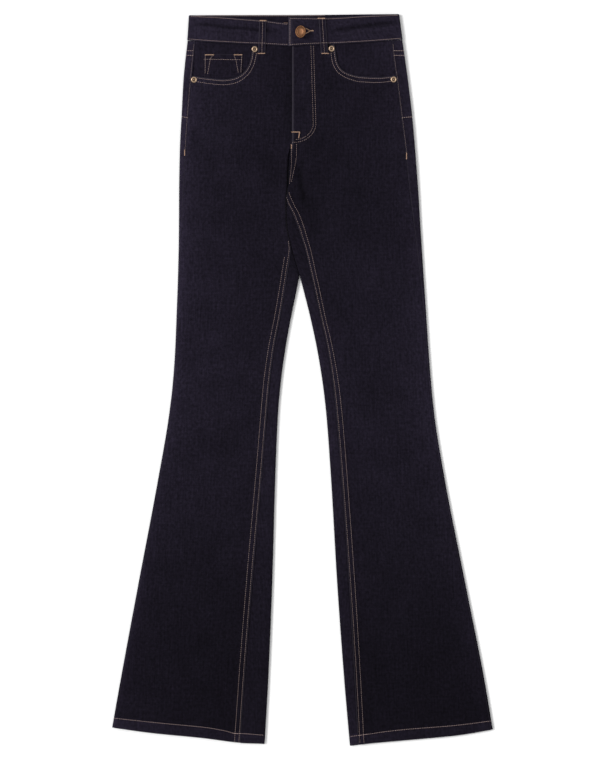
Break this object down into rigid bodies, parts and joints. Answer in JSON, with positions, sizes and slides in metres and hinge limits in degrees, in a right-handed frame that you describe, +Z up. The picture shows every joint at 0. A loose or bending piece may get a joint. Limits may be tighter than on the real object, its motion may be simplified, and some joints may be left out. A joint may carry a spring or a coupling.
{
  "type": "flared jeans",
  "caption": "Dark indigo five-pocket jeans with flared legs and a button waist, lying flat with the front up.",
  "frame": {"origin": "on the surface the jeans lie on, halfway between their sides and halfway between the waist edge and the lowest hem corner", "axes": "+Z up, out of the front of the jeans; +Y from the hems to the waist; +X towards the wearer's left"},
  "size_m": [0.5708, 1.097, 0.0218],
  "materials": {
    "denim": "dark indigo twill, matte, with tan topstitching",
    "zip_tape": "dark woven tape",
    "copper": "satin copper",
    "brass": "satin brass"
  },
  "bodies": {
    "root": {"front_right": "denim", "front_left": "denim", "back_right": "denim", "back_left": "denim", "hip_right": "denim", "hip_left": "denim", "yoke_right": "denim", "yoke_left": "denim", "waistband": "denim", "facing_right": "denim", "facing_left": "denim", "coin_pocket": "denim", "back_pocket_right": "denim", "back_pocket_left": "denim", "loop_front_right": "denim", "loop_front_left": "denim", "loop_back_right": "denim", "loop_back_centre": "denim", "loop_back_left": "denim", "zip_tape": "zip_tape", "zip_slider": "brass", "button": "copper", "rivet_right_inner": "brass", "rivet_right_outer": "brass", "rivet_left_inner": "brass", "rivet_left_outer": "brass"}
  },
  "joints": []
}
